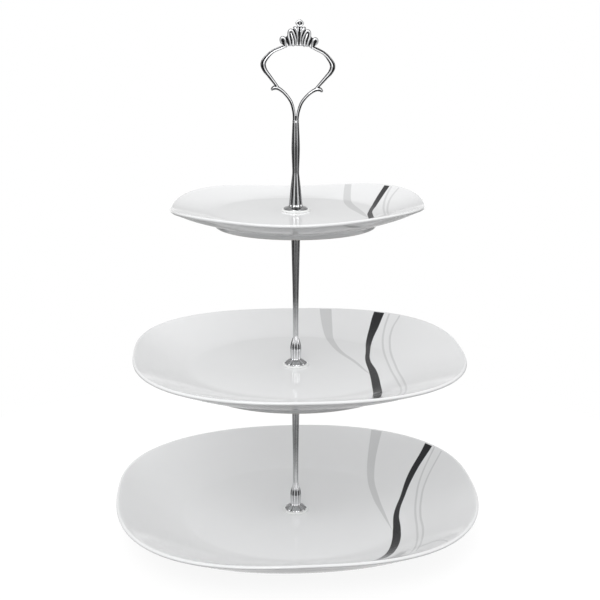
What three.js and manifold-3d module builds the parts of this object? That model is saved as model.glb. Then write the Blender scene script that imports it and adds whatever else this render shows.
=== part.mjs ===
// Three-tier cake stand: three rounded-square porcelain plates on a cast metal column with a
// crown handle. Millimetres, +Z up. The origin is the centre of the bottom plate's foot ring,
// on the surface that the stand rests on. The handle's loop faces along Y.
import * as THREE from 'three';
import { mergeVertices } from 'three/addons/utils/BufferGeometryUtils.js';
import Module from 'manifold-3d';

const wasm = await Module();
wasm.setup();

// Driving dimensions
const tierPitch = 107.5;         // from one plate's well to the next
const bottomWell = 9.0;          // height of the bottom plate's well
const wellHeights = [0, 1, 2].map((tier) => bottomWell + tier * tierPitch);
const plateSizes = {             // half width across the flats, rim above the well, foot below it, turn
  bottom: { halfWidth: 125.0, rimRise: 19.0, footDrop: bottomWell, turn: 0 },
  middle: { halfWidth: 112.5, rimRise: 11.8, footDrop: 10.0, turn: 0 },
  top: { halfWidth: 84.0, rimRise: 5.3, footDrop: 9.2, turn: -4.1 },
};
const rimSet = {                 // how far each rim came out of the kiln off centre and out of flat
  bottom: { shift: 0, tilt: 1.0, rock: 0, corner: -1.7, saddle: 0.6 },
  middle: { shift: 1.7, tilt: -0.3, rock: 0, corner: 0, saddle: 0.5 },
  top: { shift: 1.3, tilt: 1.3, rock: 1.1, corner: 2.7, saddle: 0.2 },
};
const squareness = 2.52;         // exponent of the plates' outline: 2 is round, more is squarer
const wellShare = 0.62;          // the round well's radius, as a share of the half width
const footShare = 0.65;          // the foot ring's outer radius, as a share of the half width
const wallCurve = 1.5;           // exponent of the wall's rise from the well to the rim
const porcelain = 4.0;           // thickness of the well
const wallPorcelain = 5.2;       // thickness of the wall where it leaves the foot ring
const rimThickness = 2.3;        // and at the rim
const plateHole = 4.5;           // radius of the drilled hole
const columnLand = 10.0;         // radius of the middle of the well, which the column's foot covers

const threadRadius = 2.0;        // M4
const threadPlay = 0.3;          // drawn gap round a thread, where the real one engages
const tappedRadius = threadRadius + threadPlay;
const tappedDepth = 9.0;         // blind hole in the foot of each rod and of the handle
const engagement = 7.0;          // length of thread inside the piece above
const studRoot = 8.0;            // length of stud inside its own rod

const seatThickness = 1.2;       // plastic washer between a metal foot and the glaze
const cushionThickness = 0.8;    // plastic washer under a plate
const steelThickness = 1.0;      // metal washer under that
const washerRadius = 9.0;
const underStack = porcelain + cushionThickness + steelThickness;
const rodLength = tierPitch - seatThickness - underStack;

const rodFoot = 7.75;            // radius of a rod's domed foot
const handleFoot = 8.3;          // radius of the handle's foot
const seatOverhang = 1.05;       // how far the seat washer shows round the foot
const stemHeight = 58.9;         // from the handle's foot to the fork of the loop
const loopLean = THREE.MathUtils.degToRad(2.4);   // the cast loop leans a little on its stem

const roundSides = 28;           // facets round a turned piece
const plateSides = 48;

// Materials
const glaze = new THREE.MeshStandardMaterial({ color: 0xf3f4f4, roughness: 0.08, metalness: 0 });
const castChrome = new THREE.MeshStandardMaterial({ color: 0xd9dbde, roughness: 0.08, metalness: 1 });
const zincSteel = new THREE.MeshStandardMaterial({ color: 0xb9bdc2, roughness: 0.35, metalness: 1 });
const clearPlastic = new THREE.MeshStandardMaterial({ color: 0xf1f3f2, roughness: 0.4, metalness: 0 });

const stand = new THREE.Group();

function place(name, geometry, material, height) {
  const piece = new THREE.Mesh(geometry, material);
  piece.name = name;
  piece.position.z = height;
  stand.add(piece);
}

// A turned piece about Z, from points [radius, height] that run out along its underside
function turned(points, sides = roundSides) {
  const profile = points.map(([radius, height]) => new THREE.Vector2(radius, height));
  return new THREE.LatheGeometry(profile, sides).rotateX(Math.PI / 2);
}

// Joins and cuts need a mesh whose shared corners are one vertex each
function toSolid(geometry) {
  const bare = geometry.clone();
  bare.deleteAttribute('normal');
  bare.deleteAttribute('uv');
  const welded = mergeVertices(bare, 1e-4);
  const corners = [];
  for (let i = 0; i < welded.index.count; i += 3) {
    const [a, b, c] = [0, 1, 2].map((k) => welded.index.getX(i + k));
    if (a !== b && b !== c && c !== a) corners.push(a, b, c);
  }
  return new wasm.Manifold(new wasm.Mesh({
    numProp: 3,
    vertProperties: new Float32Array(welded.attributes.position.array),
    triVerts: new Uint32Array(corners),
  }));
}

function toGeometry(solid) {
  const mesh = solid.getMesh();
  const geometry = new THREE.BufferGeometry();
  geometry.setAttribute('position', new THREE.BufferAttribute(mesh.vertProperties, 3));
  geometry.setIndex(new THREE.BufferAttribute(mesh.triVerts, 1));
  return geometry.toNonIndexed();
}

// Plates: turned round the hole, then drawn out towards a rounded square between well and rim
function plateProfile({ halfWidth, rimRise, footDrop }) {
  const wellRadius = wellShare * halfWidth;
  const footRadius = footShare * halfWidth;
  const wallTop = halfWidth - rimThickness;
  const along = (share) => wellRadius + (wallTop - wellRadius) * share;
  const rise = (share) => rimRise * share ** wallCurve;
  const thickness = (share) => wallPorcelain - (wallPorcelain - rimThickness) * share ** 3;
  const inside = [1, 0.8, 0.6, 0.4, 0.2, 0].map((share) => [along(share), rise(share) - 0.4 * share]);
  const outside = [0.3, 0.55, 0.8].map((share) => [along(share) + 1.0, rise(share) - thickness(share)]);
  return [
    [plateHole, -porcelain],
    [footRadius - 5.5, -porcelain],
    [footRadius - 3.6, -footDrop],
    [footRadius - 0.8, -footDrop],
    [footRadius + 1.0, -wallPorcelain],
    ...outside,
    [halfWidth - 0.7, rimRise - rimThickness],
    [halfWidth, rimRise - rimThickness / 2],
    [halfWidth - rimThickness * 0.35, rimRise],
    ...inside,
    [columnLand, 0],
    [plateHole, 0],
    [plateHole, -porcelain],
  ];
}

function plate(size, { shift, tilt, rock, corner, saddle }) {
  const geometry = turned(plateProfile(size), plateSides);
  const corners = geometry.attributes.position;
  const wellRadius = wellShare * size.halfWidth;
  const ringRadius = footShare * size.halfWidth + 1.0;
  for (let i = 0; i < corners.count; i += 1) {
    const x = corners.getX(i);
    const y = corners.getY(i);
    const radius = Math.hypot(x, y);
    const outward = THREE.MathUtils.clamp((radius - wellRadius) / (size.halfWidth - wellRadius), 0, 1);
    const across = Math.abs(x / radius) ** squareness + Math.abs(y / radius) ** squareness;
    const stretch = 1 + outward * (across ** (-1 / squareness) - 1);
    const angle = Math.atan2(y, x);
    const free = THREE.MathUtils.clamp((radius - ringRadius) / (size.halfWidth - ringRadius), 0, 1);
    const leaning = tilt * Math.cos(angle) - rock * Math.sin(angle);
    const lift = leaning + corner * Math.sin(2 * angle) ** 2 + saddle * Math.cos(2 * angle);
    corners.setXYZ(i, x * stretch + free * shift, y * stretch, corners.getZ(i) + free * lift);
  }
  return geometry.rotateZ(THREE.MathUtils.degToRad(size.turn));
}

Object.entries(plateSizes).forEach(([tier, size], level) => {
  place(`${tier}_plate`, plate(size, rimSet[tier]), glaze, wellHeights[level]);
});

// Rods: a domed foot with a tapped hole, a bud above it, and a shaft that widens to its top
function rod() {
  return turned([
    [0, tappedDepth],
    [tappedRadius, tappedDepth],
    [tappedRadius, 0],
    [rodFoot, 0],
    [rodFoot, 0.5],
    [rodFoot - 1.15, 1.5],
    [rodFoot - 2.75, 2.6],
    [3.5, 3.4],
    [3.45, 4.2],
    [3.7, 7.0],
    [3.82, 9.8],
    [3.6, 13.0],
    [2.9, 16.5],
    [2.1, 18.8],
    [1.8, 21.5],
    [1.9, 38.0],
    [2.15, 55.0],
    [2.6, 75.0],
    [3.2, rodLength],
    [tappedRadius, rodLength],
    [tappedRadius, rodLength - studRoot],
    [0, rodLength - studRoot],
  ]);
}

// A thread's core with a chamfered end, from height 0 up to its length
function threadedBar(length, chamferedFoot) {
  const chamfer = 0.6;
  const foot = chamferedFoot ? [[threadRadius - chamfer, 0], [threadRadius, chamfer]] : [[threadRadius, 0]];
  return [[0, 0], ...foot, [threadRadius, length - chamfer], [threadRadius - chamfer, length], [0, length]];
}

const studLength = studRoot - threadPlay + underStack + seatThickness + engagement;
['lower', 'upper'].forEach((name, level) => {
  const footHeight = wellHeights[level] + seatThickness;
  place(`${name}_rod`, rod(), castChrome, footHeight);
  const studFoot = footHeight + rodLength - studRoot + threadPlay;
  place(`${name}_stud`, turned(threadedBar(studLength, true)), zincSteel, studFoot);
});

// Washers
function washer(outerRadius, holeRadius, thickness) {
  return turned([
    [holeRadius, 0],
    [outerRadius, 0],
    [outerRadius, thickness],
    [holeRadius, thickness],
    [holeRadius, 0],
  ]);
}

const footRadii = { lower_rod: rodFoot, upper_rod: rodFoot, crown_handle: handleFoot };
Object.entries(footRadii).forEach(([owner, radius], level) => {
  const seat = washer(radius + seatOverhang, tappedRadius + 0.3, seatThickness);
  place(`${owner}_seat_washer`, seat, clearPlastic, wellHeights[level]);
});

Object.keys(plateSizes).forEach((tier, level) => {
  const underside = wellHeights[level] - porcelain;
  const cushion = washer(washerRadius, tappedRadius + 0.3, cushionThickness);
  place(`${tier}_cushion_washer`, cushion, clearPlastic, underside - cushionThickness);
  const steel = washer(washerRadius, tappedRadius, steelThickness);
  place(`${tier}_steel_washer`, steel, zincSteel, underside - cushionThickness - steelThickness);
});

// Base screw: a cross-slotted pan head in the recess under the bottom plate
function baseScrew() {
  const headRadius = 4.0;
  const headHeight = 2.2;
  const slot = { length: 5.0, width: 1.1, depth: 1.2 };
  const shank = underStack + seatThickness + engagement;
  const body = toSolid(turned([
    [0, -headHeight],
    [headRadius - 1.2, -headHeight],
    [headRadius, -headHeight + 1.2],
    [headRadius, 0],
    ...threadedBar(shank, false).slice(1),
  ]));
  const cut = new THREE.BoxGeometry(slot.length, slot.width, slot.depth * 2).translate(0, 0, -headHeight);
  const crossCut = cut.clone().rotateZ(Math.PI / 2);
  return toGeometry(body.subtract(toSolid(cut)).subtract(toSolid(crossCut)));
}

place('base_screw', baseScrew(), zincSteel, bottomWell - underStack);

// Crown handle: flared stem, forked loop with two buds, and a fan of ribs as the crown
function stem() {
  return turned([
    [0, tappedDepth],
    [tappedRadius, tappedDepth],
    [tappedRadius, 0],
    [handleFoot, 0],
    [handleFoot, 0.7],
    [handleFoot - 1.1, 1.3],
    [4.9, 1.7],
    [4.45, 5.0],
    [3.95, 10.0],
    [3.35, 15.5],
    [2.65, 21.0],
    [2.25, 25.0],
    [2.6, 32.0],
    [2.87, 40.0],
    [2.7, 47.0],
    [2.4, 53.0],
    [2.3, stemHeight],
    [0, stemHeight],
  ]);
}

// Half of the loop's centre line, from inside the stem to the top bar: [x, z, wire radius]
const halfLoop = [
  [1.0, -4.0, 1.0],
  [1.3, 4.0, 1.1],
  [3.5, 11.8, 1.2],
  [8.5, 17.9, 1.3],
  [14.2, 22.9, 1.2],
  [18.1, 27.6, 1.4],
  [21.6, 31.8, 1.7],
  [22.7, 35.6, 1.85],
  [21.0, 39.2, 1.6],
  [16.5, 43.7, 1.25],
  [10.7, 46.5, 1.25],
  [5.0, 48.2, 1.2],
];

// A wire of changing thickness: a unit tube, then each ring drawn in or out about the path
function wire(stations, sides, steps) {
  const points = stations.map(([x, z]) => new THREE.Vector3(x, 0, z));
  const path = new THREE.CatmullRomCurve3(points, false, 'centripetal');
  const section = new THREE.Shape().absarc(0, 0, 1, 0, Math.PI * 2);
  const tube = new THREE.ExtrudeGeometry(section, { steps, curveSegments: sides / 2, extrudePath: path });
  const centres = Array.from({ length: steps + 1 }, (_, i) => path.getPointAt(i / steps));
  const radii = centres.map((_, i) => {
    const along = path.getUtoTmapping(i / steps) * (stations.length - 1);
    const before = Math.min(Math.floor(along), stations.length - 2);
    return THREE.MathUtils.lerp(stations[before][2], stations[before + 1][2], along - before);
  });
  const corners = tube.attributes.position;
  const corner = new THREE.Vector3();
  for (let i = 0; i < corners.count; i += 1) {
    corner.fromBufferAttribute(corners, i);
    const gaps = centres.map((centre) => centre.distanceTo(corner));
    const nearest = gaps.indexOf(Math.min(...gaps));
    corner.sub(centres[nearest]).multiplyScalar(radii[nearest]).add(centres[nearest]);
    corners.setXYZ(i, corner.x, corner.y, corner.z);
  }
  return tube;
}

// A round-ended rib from one point of the loop's plane to another
function rib([fromX, fromZ], [toX, toZ], radius) {
  const reach = new THREE.Vector3(toX - fromX, 0, toZ - fromZ);
  const capsuleAxis = new THREE.Vector3(0, 1, 0);
  const turn = new THREE.Quaternion().setFromUnitVectors(capsuleAxis, reach.clone().normalize());
  return new THREE.CapsuleGeometry(radius, reach.length(), 2, 8)
    .applyQuaternion(turn)
    .translate((fromX + toX) / 2, 0, (fromZ + toZ) / 2);
}

function crownHandle() {
  const mirrored = halfLoop.map(([x, z, radius]) => [-x, z, radius]).reverse();
  const fork = [...halfLoop, ...mirrored];
  const crownRibs = [                 // foot, tip and radius of each rib right of the spine
    { foot: [1.6, 48.5], tip: [2.9, 59.5], radius: 1.0 },
    { foot: [3.0, 48.5], tip: [4.3, 56.8], radius: 1.1 },
    { foot: [5.0, 48.2], tip: [6.4, 55.6], radius: 1.2 },
    { foot: [7.6, 48.0], tip: [9.0, 51.6], radius: 1.2 },
    { foot: [9.6, 47.4], tip: [11.5, 51.6], radius: 1.4 },
  ];
  const bud = { foot: [12.0, 20.3], tip: [15.4, 20.2], radius: 1.4 };
  const pieces = [wire(fork, 8, 66), rib([0, 48.5], [0, 61.8], 1.4)];
  pieces.push(new THREE.OctahedronGeometry(2.3, 0).translate(0, 0, 62.8));
  [1, -1].forEach((side) => {
    [...crownRibs, bud].forEach(({ foot, tip, radius }) => {
      pieces.push(rib([side * foot[0], foot[1]], [side * tip[0], tip[1]], radius));
    });
  });
  const loop = pieces.map((piece) => toSolid(piece.rotateY(loopLean).translate(0, 0, stemHeight)));
  return toGeometry(loop.reduce((handle, piece) => handle.add(piece), toSolid(stem())));
}

place('crown_handle', crownHandle(), castChrome, wellHeights[2] + seatThickness);

export default stand;
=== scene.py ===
import math

import bmesh
import bpy
import numpy as np
from mathutils import Matrix, Vector
from mathutils.kdtree import KDTree


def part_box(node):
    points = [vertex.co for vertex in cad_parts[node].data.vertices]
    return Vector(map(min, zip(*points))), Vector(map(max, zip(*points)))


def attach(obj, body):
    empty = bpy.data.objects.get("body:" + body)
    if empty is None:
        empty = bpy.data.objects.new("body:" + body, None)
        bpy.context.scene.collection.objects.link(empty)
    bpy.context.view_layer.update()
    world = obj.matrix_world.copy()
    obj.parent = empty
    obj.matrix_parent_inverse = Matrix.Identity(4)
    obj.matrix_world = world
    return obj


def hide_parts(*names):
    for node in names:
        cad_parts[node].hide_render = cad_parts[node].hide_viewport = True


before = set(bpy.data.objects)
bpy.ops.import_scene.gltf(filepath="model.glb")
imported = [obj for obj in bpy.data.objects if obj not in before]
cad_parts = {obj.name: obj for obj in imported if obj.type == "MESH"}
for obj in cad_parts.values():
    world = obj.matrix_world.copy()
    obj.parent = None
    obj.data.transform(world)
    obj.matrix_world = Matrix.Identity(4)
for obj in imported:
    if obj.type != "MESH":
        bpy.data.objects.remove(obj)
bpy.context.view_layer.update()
scene = bpy.context.scene
scene.view_settings.view_transform = "Standard"
mm = 0.001
print("frame loaded:", len(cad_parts), "nodes")


def sizesOf(sizes, *names):
    return [sizes[name] for name in names]


# Nodes: small helpers for the trees below, which find their tree through a socket that they are given

def plug(socket, value):
    if isinstance(value, bpy.types.NodeSocket):
        socket.id_data.links.new(value, socket)
    elif value is not None:
        socket.default_value = value


def addNode(tree, kind, *values, **settings):
    node = tree.nodes.new(kind)
    for name, setting in settings.items():
        setattr(node, name, setting)
    for socket, value in zip(node.inputs, values):
        plug(socket, value)
    return node


def wired(node, values):
    for name, value in values.items():
        plug(node.inputs[name], value)
    return node


def calc(operation, *values, clamp=False):
    tree = next(value.id_data for value in values if isinstance(value, bpy.types.NodeSocket))
    return addNode(tree, "ShaderNodeMath", *values, operation=operation, use_clamp=clamp).outputs[0]


def plus(*values):
    return calc("ADD", *values)


def minus(*values):
    return calc("SUBTRACT", *values)


def times(*values, clamp=False):
    return calc("MULTIPLY", *values, clamp=clamp)


def over(*values, clamp=False):
    return calc("DIVIDE", *values, clamp=clamp)


def remap(value, fromLow, fromHigh, toLow=0.0, toHigh=1.0):
    return addNode(value.id_data, "ShaderNodeMapRange", value, fromLow, fromHigh, toLow, toHigh).outputs[0]


def axesOf(vector):
    return addNode(vector.id_data, "ShaderNodeSeparateXYZ", vector).outputs


def vectorOf(x, y, z):
    return addNode(x.id_data, "ShaderNodeCombineXYZ", x, y, z).outputs[0]


def blendColour(factor, first, second):
    mix = addNode(factor.id_data, "ShaderNodeMix", data_type="RGBA")
    return wired(mix, {"Factor": factor, "A": first, "B": second}).outputs["Result"]


def grey(level):
    return (level, level, level, 1.0)


def shade(colour, share=1.0):
    return (*[part * share for part in colour], 1)


# Materials

def newMaterial(name):
    material = bpy.data.materials.new(name)
    material.use_nodes = True
    nodes = material.node_tree.nodes
    return material, nodes["Principled BSDF"], nodes.new("ShaderNodeTexCoord").outputs["Object"]


def speckle(place, scale, detail):
    noise = addNode(place.id_data, "ShaderNodeTexNoise", place)
    return wired(noise, {"Scale": scale, "Detail": detail}).outputs["Fac"]


def bumpOf(height, depth, below=None):  # depth in mm
    inputs = {"Strength": 1.0, "Distance": depth * mm, "Height": height, "Normal": below}
    return wired(addNode(height.id_data, "ShaderNodeBump"), inputs).outputs["Normal"]


def relief(place, look, name, below=None):
    return bumpOf(speckle(place, *look[name]), look[f"{name}Depth"], below)


def attributeOf(shader, name):
    return addNode(shader.id_data, "ShaderNodeAttribute", attribute_name=name).outputs["Fac"]


def lineCurve(along, stations, halfWidth):  # a value that varies along the plate's depth
    node = addNode(along.id_data, "ShaderNodeFloatCurve")
    curve = node.mapping.curves[0]
    points = [((y / halfWidth + 1) / 2, value) for y, value in sorted(stations)]
    curve.points[0].location, curve.points[1].location = points[0], points[-1]
    for point in points[1:-1]:
        curve.points.new(*point)
    node.mapping.update()
    return wired(node, {"Value": along}).outputs[0]


noiseSpan = (0.3, 0.7)  # nearly all of a noise lies between these
glaze = {
    "white": (0.875, 0.880, 0.885),
    "clouding": 0.985,  # share of the white in its darker clouds
    "bare": (0.70, 0.67, 0.62),  # the unglazed land under the foot ring
    "bareShade": 0.9,
    "charcoal": (0.024, 0.024, 0.026),
    "lightGrey": (0.68, 0.685, 0.69),
    "paleGrey": (0.70, 0.705, 0.71),
    "edge": 0.35,  # mm over which a stripe's edge fades
    "fineLine": 0.75,  # half width of a thin line
    "widest": 10.0,  # the largest half width that a stripe's curve can hold
    "trim": 0.5,  # how far a stripe passes its end stations
    "runOn": 8.0,  # and how far if it starts behind "farBack", to pass the rim
    "farBack": 30.0,
    "shine": 0.5,
    "darkShine": 0.2,  # the charcoal shines less than the glaze around it
    "rough": (0.045, 0.085),
    "bareRough": 0.62,
    "cloud": (22.0, 3.0),  # scale and detail of each noise
    "breath": (140.0, 4.0),
    "wave": (26.0, 1.0),
    "peel": (420.0, 2.0),
    "grit": (2600.0, 4.0),
    "waveDepth": 0.10,  # mm
    "peelDepth": 0.0035,
    "gritDepth": 0.06,
    "index": 1.52,
}

# Stripes on each plate, in mm from its centre, from the back rim to the front: y, x and half width
stripes = {
    "bottom": {
        "greyBand": [(106, 71.5, 4.4), (60, 61.4, 2.7), (16, 59.7, 2.2), (-10, 61.2, 1.3), (-38, 63.4, 0.1)],
        "greyLineIn": [(76, 117), (65, 110), (33, 94.4), (9, 87.8), (-11, 83.9), (-43, 79.8), (-65, 76.1, 0.68),
                       (-91, 68.9, 0.6), (-112, 60, 0.45)],
        "greyLineOut": [(66, 121), (55, 113), (25, 96.8), (4, 90.5), (-20, 86), (-46, 83.3), (-71, 77.9, 0.68),
                        (-96, 70, 0.45)],
        "greyLineAcross": [(-81, 84.3, 1.5), (-82.2, 79.5, 1.7), (-85.4, 73.8, 1.4)],
        "greyLineEnd": [(-81, 84.3, 1.2), (-83, 87.2, 0.9), (-86, 89), (-98, 90.3, 0.68)],
        "darkBand": [(84, 114, 4.8), (75, 109, 4.4), (45, 90, 2.9), (15, 78.4, 1.7), (-14, 70, 2.0), (-36, 67, 2.7),
                     (-56, 63.5, 2.9), (-79, 56.7, 2.7), (-91, 51.5, 2.8), (-119, 36, 2.4)],
    },
    "middle": {
        "greyBand": [(109, 30.8, 4.6), (86, 30, 3.8), (67, 29.8, 2.8), (51, 30.8, 2.3), (30, 33.9, 1.8),
                     (4, 41.7, 1.3), (-17, 46.5, 0.7), (-26, 49, 0.1)],
        "greyLineIn": [(98, 81), (87, 76.7), (68, 70.9), (42, 66.3), (-12, 63.8), (-42, 64.1), (-71, 62.2, 0.68),
                       (-103, 54, 0.45)],
        "greyLineOut": [(92, 89), (81, 83.4), (66, 76.5), (40, 71.1), (-10, 68.3), (-45, 68), (-71, 65.4, 0.68),
                        (-101, 58, 0.45)],
        "darkBand": [(101, 73.5, 4.8), (92, 69.7, 4.4), (76, 64.5, 3.6), (53, 57.8, 2.3), (28, 53.6, 1.6),
                     (8, 51, 1.75), (-19, 51.1, 2.7), (-45, 49.7, 2.9), (-75, 46.5, 2.9), (-100, 40, 2.6),
                     (-109, 33, 3.0)],
    },
    "top": {
        "greyBand": [(80, 44.5, 2.4), (60, 41.3, 2.6), (33, 38.6, 2.7), (20, 38.9, 2.9), (6, 40.3, 2.9),
                     (-9, 42.5, 2.1), (-22, 44.1, 1.1), (-27, 44.8, 0.2)],
        "greyLineIn": [(51, 71.7), (33, 65.5), (10, 60.5), (-5, 58.5, 0.68), (-22, 56.9, 0.68), (-70, 50, 0.45)],
        "greyLineOut": [(43, 75.2), (26, 67.5), (14, 64.3), (-14, 59.7, 0.68), (-26, 58.6, 0.68), (-68, 54, 0.45)],
        "greyLineAcross": [(-14, 70.5, 0.9), (-22, 62.9, 0.9), (-28, 57.2, 0.9), (-34, 52.2, 0.9)],
        "darkBand": [(70, 75.5, 2.6), (54, 68.7, 2.4), (34, 60.8, 2.1), (14, 54.4, 1.7), (-6, 49.4, 1.35),
                     (-17, 47.8, 1.85), (-27, 47.1, 1.9), (-50, 45.5, 2.0), (-77, 38, 2.0)],
    },
}
stripeColours = {"greyBand": "lightGrey", "darkBand": "charcoal"}  # and the thin lines are pale grey


def stripeMask(place, stations, halfWidth):
    stations = [(y, x, *(reach or [glaze["fineLine"]])) for y, x, *reach in stations]
    axes = axesOf(place)
    along = remap(axes["Y"], -halfWidth * mm, halfWidth * mm)
    centre = lineCurve(along, [(y, x / halfWidth) for y, x, reach in stations], halfWidth)
    reach = lineCurve(along, [(y, reach / glaze["widest"]) for y, x, reach in stations], halfWidth)
    off = calc("ABSOLUTE", minus(over(axes["X"], halfWidth * mm), centre))
    inside = minus(times(reach, glaze["widest"]), times(off, halfWidth))
    soft = remap(inside, -glaze["edge"] / 2, glaze["edge"] / 2)
    back, front = max(y for y, x, reach in stations), min(y for y, x, reach in stations)
    back += glaze["runOn"] if back > glaze["farBack"] else glaze["trim"]
    behind = calc("LESS_THAN", axes["Y"], back * mm)
    before = calc("GREATER_THAN", axes["Y"], (front - glaze["trim"]) * mm)
    return times(soft, times(behind, before))


def glazeMaterial(tier, halfWidth):
    material, shader, place = newMaterial(f"{tier}Glaze")
    look = glaze
    upper, bare = attributeOf(shader, "upperFace"), attributeOf(shader, "bareClay")
    cloud = remap(speckle(place, *look["cloud"]), *noiseSpan)
    colour = blendColour(cloud, shade(look["white"], look["clouding"]), shade(look["white"]))
    masks = {}
    for stripe, stations in stripes[tier].items():
        masks[stripe] = times(stripeMask(place, stations, halfWidth), upper)
        colour = blendColour(masks[stripe], colour, shade(look[stripeColours.get(stripe, "paleGrey")]))
    dulled = times(masks["darkBand"], look["shine"] - look["darkShine"])
    grit = speckle(place, *look["grit"])
    clay = blendColour(grit, shade(look["bare"], look["bareShade"]), shade(look["bare"]))
    rough = remap(speckle(place, *look["breath"]), *noiseSpan, *look["rough"])
    peel = relief(place, look, "peel", relief(place, look, "wave"))
    wired(shader, {
        "Base Color": blendColour(bare, colour, clay),
        "Roughness": plus(rough, times(bare, look["bareRough"])),
        "Normal": bumpOf(times(grit, bare), look["gritDepth"], peel),
        "Specular IOR Level": minus(look["shine"], dulled),
        "IOR": look["index"],
    })
    return material


chromeFinish = {
    "bright": (0.72, 0.725, 0.735),
    # the black painted as shade in the flutes, the sunk lines and the crown's gaps
    "paintedShading": (0.015, 0.015, 0.016),
    "paintedShadingSpan": (0.28, 0.75),  # painted shade below the first leaves the chrome bright, above the second paints it black
    "fluteSpan": (0.0, 0.8),  # from a rib down to where a flute gets its full painted shade
    "flutePaintedShade": (0.42, 0.70),  # and how much painted shade these two give
    "linePaintedShade": 3.5,  # the same painted shade for the lines sunk in the loop's wire
    "spots": 0.10,
    "spot": (900.0, 2.0),  # scale and detail of each noise
    "haze": (260.0, 4.0),
    "ripple": (240.0, 1.0),
    "grain": (2400.0, 2.0),
    "hazeSpan": (0.35, 0.75),
    "rough": (0.035, 0.085),
    "paintedShadingRough": 0.22,
    "rippleDepth": 0.010,  # mm
    "grainDepth": 0.0006,
}


def chromeMaterial():
    material, shader, place = newMaterial("polishedChrome")
    look = chromeFinish
    spots = times(speckle(place, *look["spot"]), look["spots"])
    # painted shade, with random spots added, blends the chrome to black and makes it rougher
    paintedShadeAndSpots = remap(plus(attributeOf(shader, "paintedShade"), spots), *look["paintedShadingSpan"])
    rough = remap(speckle(place, *look["haze"]), *look["hazeSpan"], *look["rough"])
    wired(shader, {
        "Base Color": blendColour(paintedShadeAndSpots, shade(look["bright"]), shade(look["paintedShading"])),
        "Roughness": plus(rough, times(paintedShadeAndSpots, look["paintedShadingRough"])),
        "Normal": relief(place, look, "grain", relief(place, look, "ripple")),
        "Metallic": 1.0,
    })
    return material


zincFinish = {
    "cool": (0.60, 0.61, 0.645),
    "warm": (0.67, 0.665, 0.655),
    "patch": (300.0, 3.0),
    "rough": (0.24, 0.36),
    "ringScale": 900.0,  # fine rings left by turning
    "ringWander": 1.2,
    "ringDepth": 0.004,
}


def zincMaterial():
    material, shader, place = newMaterial("zincPlate")
    look = zincFinish
    patch = speckle(place, *look["patch"])
    rings = addNode(shader.id_data, "ShaderNodeTexWave", place, wave_type="RINGS", rings_direction="Z")
    wired(rings, {"Scale": look["ringScale"], "Distortion": look["ringWander"]})
    wired(shader, {
        "Base Color": blendColour(remap(patch, *noiseSpan), shade(look["cool"]), shade(look["warm"])),
        "Roughness": remap(patch, *noiseSpan, *look["rough"]),
        "Normal": bumpOf(rings.outputs["Fac"], look["ringDepth"]),
        "Metallic": 1.0,
    })
    return material


plasticFinish = {
    "dull": (0.86, 0.87, 0.86),
    "milky": (0.93, 0.935, 0.93),
    "patch": (500.0, 3.0),
    "rough": (0.26, 0.38),
    "skin": (1800.0, 2.0),
    "skinDepth": 0.004,
    "through": 0.6,  # how much light goes in, and how far in mm
    "reach": 1.2,
}


def plasticMaterial():
    material, shader, place = newMaterial("milkyPlastic")
    look = plasticFinish
    patch = speckle(place, *look["patch"])
    wired(shader, {
        "Base Color": blendColour(patch, shade(look["dull"]), shade(look["milky"])),
        "Roughness": remap(patch, *noiseSpan, *look["rough"]),
        "Normal": relief(place, look, "skin"),
        "Subsurface Weight": look["through"],
        "Subsurface Radius": (1.0, 1.0, 1.0),
        "Subsurface Scale": look["reach"] * mm,
    })
    return material


chrome, zinc, plastic = chromeMaterial(), zincMaterial(), plasticMaterial()
print("materials made")


# Geometry trees
weldReach = 0.002  # mm


def newTree(name, counts, measures):  # the inputs: whole numbers, measures and a material
    tree = bpy.data.node_groups.new(name, "GeometryNodeTree")
    kinds = {"Geometry": "Geometry", **dict.fromkeys(counts, "Int"), **dict.fromkeys(measures, "Float"),
             "Material": "Material"}
    for label, kind in kinds.items():
        tree.interface.new_socket(name=label, in_out="INPUT", socket_type=f"NodeSocket{kind}")
    tree.interface.new_socket(name="Geometry", in_out="OUTPUT", socket_type="NodeSocketGeometry")
    return tree, tree.nodes.new("NodeGroupInput").outputs


def closeTree(geometry, material):  # ends every tree the same way
    tree = geometry.id_data
    plain = addNode(tree, "GeometryNodeRealizeInstances", geometry).outputs[0]
    painted = wired(addNode(tree, "GeometryNodeSetMaterial", plain), {"Material": material})
    plug(tree.nodes.new("NodeGroupOutput").inputs[0], painted.outputs[0])


def positionAxes(tree):
    return axesOf(addNode(tree, "GeometryNodeInputPosition").outputs[0])


def movedTo(geometry, place):
    return addNode(geometry.id_data, "GeometryNodeSetPosition", geometry, None, place).outputs[0]


def welded(geometry):  # closes the seam and the poles of a spun grid
    node = addNode(geometry.id_data, "GeometryNodeMergeByDistance", geometry)
    return wired(node, {"Distance": weldReach * mm}).outputs[0]


def storeValue(geometry, name, value):
    node = addNode(geometry.id_data, "GeometryNodeStoreNamedAttribute", geometry, data_type="FLOAT", domain="POINT")
    return wired(node, {"Name": name, "Value": value}).outputs[0]


def spunGrid(sides, rows):  # a grid to wrap round Z, each point's share of the turn, and its row
    tree = sides.id_data
    grid = addNode(tree, "GeometryNodeMeshGrid", 1.0, 1.0, plus(sides, 1.0), rows).outputs["Mesh"]
    spot = positionAxes(tree)
    return grid, plus(spot["X"], 0.5), calc("ROUND", times(plus(spot["Y"], 0.5), minus(rows, 1.0)))


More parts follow.
